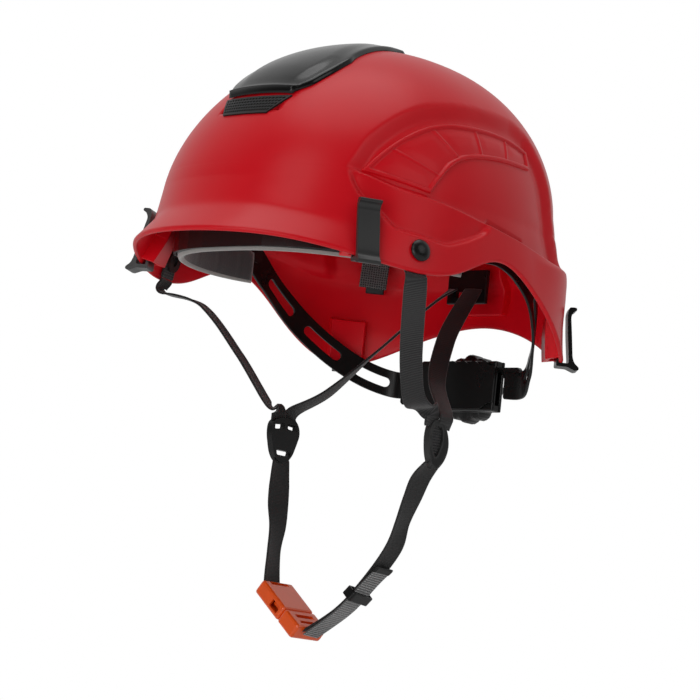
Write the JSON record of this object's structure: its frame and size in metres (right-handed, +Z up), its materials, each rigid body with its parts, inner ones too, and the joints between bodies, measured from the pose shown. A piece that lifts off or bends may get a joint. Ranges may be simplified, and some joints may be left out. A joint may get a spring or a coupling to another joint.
{
  "type": "climbing helmet",
  "caption": "Climbing helmet: hard shell with textile cradle, wheel-adjusted headband, headlamp clips, Y-shaped chin straps and side-release buckle.",
  "frame": {"origin": "centre of the headband ring, level with the front of the shell's rim, where the head sits", "axes": "+Z up along the head, -Y to the front of the helmet, +X to the wearer's left"},
  "size_m": [0.2216, 0.2855, 0.3682],
  "materials": {
    "shell_red": "satin moulded plastic, red",
    "black_gloss": "polished moulded plastic, black",
    "black_plastic": "satin moulded plastic, black",
    "webbing": "ribbed polyester webbing, black",
    "cradle_textile": "woven textile strap, black",
    "foam": "brushed cloth over foam, dark grey",
    "orange_plastic": "moulded plastic, orange",
    "spring_steel": "spring steel strip"
  },
  "bodies": {
    "shell": {"outer_shell": "shell_red", "vent_cover": "black_gloss", "vent_grille": "black_plastic", "anchor_button_left": "black_plastic", "anchor_button_right": "black_plastic", "anchor_washer_left": "black_plastic", "anchor_washer_right": "black_plastic", "strap_tab_left": "webbing", "strap_tab_right": "webbing", "rear_anchor": "black_plastic", "cradle_leg_front_left": "cradle_textile", "cradle_leg_front_right": "cradle_textile", "cradle_leg_rear_left": "cradle_textile", "cradle_leg_rear_right": "cradle_textile", "cradle_plug_front_left": "black_plastic", "cradle_plug_front_right": "black_plastic", "cradle_plug_rear_left": "black_plastic", "cradle_plug_rear_right": "black_plastic", "crown_pad": "foam", "brow_band": "black_plastic", "brow_pad": "foam", "temple_pin_left": "black_plastic", "temple_pin_right": "black_plastic"},
    "clip_front_left": {"clip_front_left": "black_plastic"},
    "clip_front_right": {"clip_front_right": "black_plastic"},
    "clip_rear_left": {"clip_rear_left": "black_plastic"},
    "clip_rear_right": {"clip_rear_right": "black_plastic"},
    "nape": {"nape_arm_left": "black_plastic", "nape_arm_right": "black_plastic", "adjuster_housing": "black_plastic", "adjuster_cover": "black_plastic", "detent_spring": "spring_steel"},
    "wheel": {"adjuster_knob": "black_plastic", "pinion": "black_plastic"},
    "tail_left": {"rack_tail_left": "black_plastic"},
    "tail_right": {"rack_tail_right": "black_plastic"},
    "strap_left": {"front_strap_left": "webbing", "rear_strap_left": "webbing", "divider_left": "black_gloss"},
    "strap_right": {"front_strap_right": "webbing", "rear_strap_right": "webbing", "divider_right": "black_gloss"},
    "chin_left": {"chin_strap_left": "webbing", "strap_tail": "webbing", "buckle_male": "orange_plastic"},
    "chin_right": {"chin_strap_right": "webbing", "buckle_female": "orange_plastic"},
    "prong_left": {"buckle_prong_left": "orange_plastic"},
    "prong_right": {"buckle_prong_right": "orange_plastic"},
    "keeper": {"strap_keeper": "black_gloss"}
  },
  "joints": [
    {"name": "clip_front_left_flex", "type": "hinge", "parent": "shell", "child": "clip_front_left", "pos_m": [0.09016, -0.0876, -0.01115], "axis": [0.4877, 0.873, 0], "range_deg": [0, 9], "stiffness_Nm_per_rad": 0.5},
    {"name": "clip_front_right_flex", "type": "hinge", "parent": "shell", "child": "clip_front_right", "pos_m": [-0.09016, -0.0876, -0.01115], "axis": [0.4877, -0.873, 0], "range_deg": [0, 9], "stiffness_Nm_per_rad": 0.5},
    {"name": "clip_rear_left_flex", "type": "hinge", "parent": "shell", "child": "clip_rear_left", "pos_m": [0.0905, 0.1043, -0.04142], "axis": [-0.6965, 0.7175, 0], "range_deg": [0, 9], "stiffness_Nm_per_rad": 0.5},
    {"name": "clip_rear_right_flex", "type": "hinge", "parent": "shell", "child": "clip_rear_right", "pos_m": [-0.0905, 0.1043, -0.04142], "axis": [-0.6965, -0.7175, 0], "range_deg": [0, 9], "stiffness_Nm_per_rad": 0.5},
    {"name": "nape_tilt", "type": "hinge", "parent": "shell", "child": "nape", "pos_m": [0, 0.01, 0.014], "axis": [1, 0, 0], "range_deg": [-10, 4]},
    {"name": "wheel_turn", "type": "hinge", "parent": "nape", "child": "wheel", "pos_m": [0, 0.117, -0.053], "axis": [0, 1, 0], "range_deg": [-90, 90]},
    {"name": "tail_left_slide", "type": "slide", "parent": "nape", "child": "tail_left", "axis": [1, 0, 0], "range_m": [-0.012, 0.012]},
    {"name": "tail_right_slide", "type": "slide", "parent": "nape", "child": "tail_right", "axis": [-1, 0, 0], "range_m": [-0.012, 0.012]},
    {"name": "strap_left_swing", "type": "hinge", "parent": "shell", "child": "strap_left", "pos_m": [0.05472, 0.0276, -0.00229], "axis": [0.4871, -0.8654, -0.1177], "range_deg": [0, 28]},
    {"name": "strap_right_swing", "type": "hinge", "parent": "shell", "child": "strap_right", "pos_m": [-0.05472, 0.0276, -0.00229], "axis": [0.4871, 0.8654, 0.1177], "range_deg": [0, 28]},
    {"name": "chin_left_swing", "type": "hinge", "parent": "strap_left", "child": "chin_left", "pos_m": [0.062, 0.022, -0.099], "axis": [0, -1, 0], "range_deg": [0, 60]},
    {"name": "chin_right_swing", "type": "hinge", "parent": "strap_right", "child": "chin_right", "pos_m": [-0.062, 0.022, -0.099], "axis": [0, 1, 0], "range_deg": [0, 45]},
    {"name": "prong_left_squeeze", "type": "hinge", "parent": "chin_left", "child": "prong_left", "pos_m": [-0.036, 0.0326, -0.211], "axis": [0.6283, 0, 0.7779], "range_deg": [0, 6], "stiffness_Nm_per_rad": 0.05},
    {"name": "prong_right_squeeze", "type": "hinge", "parent": "chin_left", "child": "prong_right", "pos_m": [-0.036, 0.0154, -0.211], "axis": [-0.6283, 0, -0.7779], "range_deg": [0, 6], "stiffness_Nm_per_rad": 0.05},
    {"name": "keeper_slide", "type": "slide", "parent": "chin_left", "child": "keeper", "axis": [0.6593, 0.1236, 0.7417], "range_m": [-0.004, 0.004]}
  ],
  "couplings": [
    {"joint": "tail_left_slide", "follows": "wheel_turn", "m_per_rad": 0.0075},
    {"joint": "tail_right_slide", "follows": "wheel_turn", "m_per_rad": 0.0075}
  ]
}
